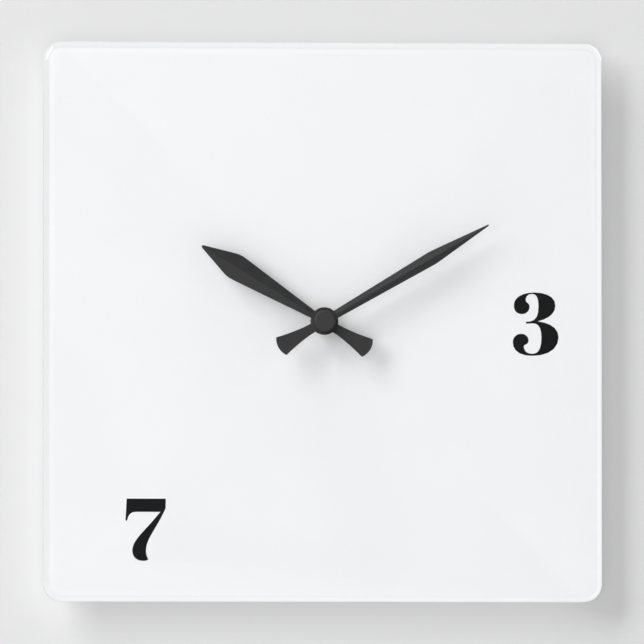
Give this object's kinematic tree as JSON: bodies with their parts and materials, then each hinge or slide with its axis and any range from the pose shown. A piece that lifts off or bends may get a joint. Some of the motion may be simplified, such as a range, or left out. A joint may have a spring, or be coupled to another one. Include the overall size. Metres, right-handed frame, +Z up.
{
  "type": "wall clock",
  "caption": "Square wall clock: a thick clear plate over a white printed dial with flat black hands, on a battery quartz movement that hangs by a steel tab.",
  "frame": {"origin": "on the hands' axis, in the wall plane at the rear cover's back face", "axes": "+X to the viewer's right, +Y into the wall, +Z up; the dial faces -Y"},
  "size_m": [0.273, 0.036, 0.273],
  "materials": {
    "clear_acrylic": "clear, polished faces and a polished rounded edge",
    "white_print": "cool white printed backing",
    "black_ink": "solid black print",
    "hand_black": "satin black enamel on pressed sheet",
    "cap_black": "satin black moulding",
    "brass": "turned brass",
    "rubber": "soft black rubber",
    "case_black": "fine spark texture, black moulding",
    "zinc_steel": "zinc plated",
    "frame_plastic": "pale grey moulding",
    "magnet": "dark sintered",
    "gear_plastic": "natural acetal",
    "core_steel": "bare stamped steel",
    "copper": "enamelled copper wire",
    "board_green": "green solder mask",
    "epoxy_black": "black epoxy dome",
    "contact_steel": "bright nickel plate",
    "battery_label": "plain dark shrink sleeve",
    "battery_mix": "pressed dark mix"
  },
  "bodies": {
    "case": {"dial_plate": "clear_acrylic", "dial_backing": "white_print", "numeral_3": "black_ink", "numeral_7": "black_ink", "hex_nut": "brass", "flat_washer": "brass", "rubber_gasket": "rubber", "front_case": "case_black", "threaded_bushing": "brass", "rear_cover": "case_black", "hanger": "zinc_steel", "hanger_screws": "zinc_steel", "gear_bridge": "frame_plastic", "bridge_screws": "zinc_steel", "stator": "core_steel", "coil_core": "core_steel", "coil_bobbin": "gear_plastic", "coil_winding": "copper", "coil_leads": "copper", "circuit_board": "board_green", "quartz_crystal": "zinc_steel", "chip_blob": "epoxy_black", "positive_contact": "contact_steel", "negative_contact": "contact_steel"},
    "minute_train": {"minute_hand": "hand_black", "minute_pipe": "brass", "minute_wheel": "gear_plastic", "clutch_spring": "brass", "hand_nut": "brass", "centre_cap": "cap_black"},
    "hour_train": {"hour_hand": "hand_black", "hour_wheel": "gear_plastic"},
    "second_arbor": {"second_wheel": "gear_plastic"},
    "third_arbor": {"third_wheel": "gear_plastic"},
    "fifth_arbor": {"fifth_wheel": "gear_plastic"},
    "rotor": {"rotor_magnet": "magnet", "rotor_pinion": "gear_plastic"},
    "motion_arbor": {"motion_wheel": "gear_plastic"},
    "setting": {"setting_stem": "gear_plastic", "setting_knob": "cap_black"},
    "cell": {"battery_sleeve": "battery_label", "battery_can": "contact_steel", "battery_core": "battery_mix", "battery_negative": "contact_steel"}
  },
  "joints": [
    {"name": "minute_hand_turn", "type": "hinge", "parent": "case", "child": "minute_train", "pos_m": [0, -0.031, 0], "axis": [0, 1, 0], "continuous": true},
    {"name": "hour_hand_turn", "type": "hinge", "parent": "case", "child": "hour_train", "pos_m": [0, -0.029, 0], "axis": [0, 1, 0], "continuous": true},
    {"name": "second_wheel_turn", "type": "hinge", "parent": "case", "child": "second_arbor", "pos_m": [0, -0.009, 0], "axis": [0, 1, 0], "continuous": true},
    {"name": "third_wheel_turn", "type": "hinge", "parent": "case", "child": "third_arbor", "pos_m": [0.00913, -0.009, 0.00332], "axis": [0, 1, 0], "continuous": true},
    {"name": "fifth_wheel_turn", "type": "hinge", "parent": "case", "child": "fifth_arbor", "pos_m": [-0.00176, -0.007, 0.01], "axis": [0, 1, 0], "continuous": true},
    {"name": "rotor_turn", "type": "hinge", "parent": "case", "child": "rotor", "pos_m": [-0.0044, -0.004, 0.01457], "axis": [0, 1, 0], "continuous": true},
    {"name": "motion_wheel_turn", "type": "hinge", "parent": "case", "child": "motion_arbor", "pos_m": [-0.00827, -0.013, -0.00146], "axis": [0, 1, 0], "continuous": true},
    {"name": "setting_knob_turn", "type": "hinge", "parent": "case", "child": "setting", "pos_m": [-0.01607, -0.002, 0.00304], "axis": [0, 1, 0], "continuous": true},
    {"name": "battery_slide", "type": "slide", "parent": "case", "child": "cell", "axis": [0, 1, 0], "range_m": [0, 0.03]}
  ],
  "couplings": [
    {"joint": "hour_hand_turn", "follows": "minute_hand_turn", "ratio": 0.083333},
    {"joint": "second_wheel_turn", "follows": "minute_hand_turn", "ratio": 60},
    {"joint": "third_wheel_turn", "follows": "minute_hand_turn", "ratio": -8},
    {"joint": "fifth_wheel_turn", "follows": "minute_hand_turn", "ratio": -360},
    {"joint": "rotor_turn", "follows": "minute_hand_turn", "ratio": 1800},
    {"joint": "motion_wheel_turn", "follows": "minute_hand_turn", "ratio": -0.33333},
    {"joint": "setting_knob_turn", "follows": "minute_hand_turn", "ratio": 0.77778}
  ]
}
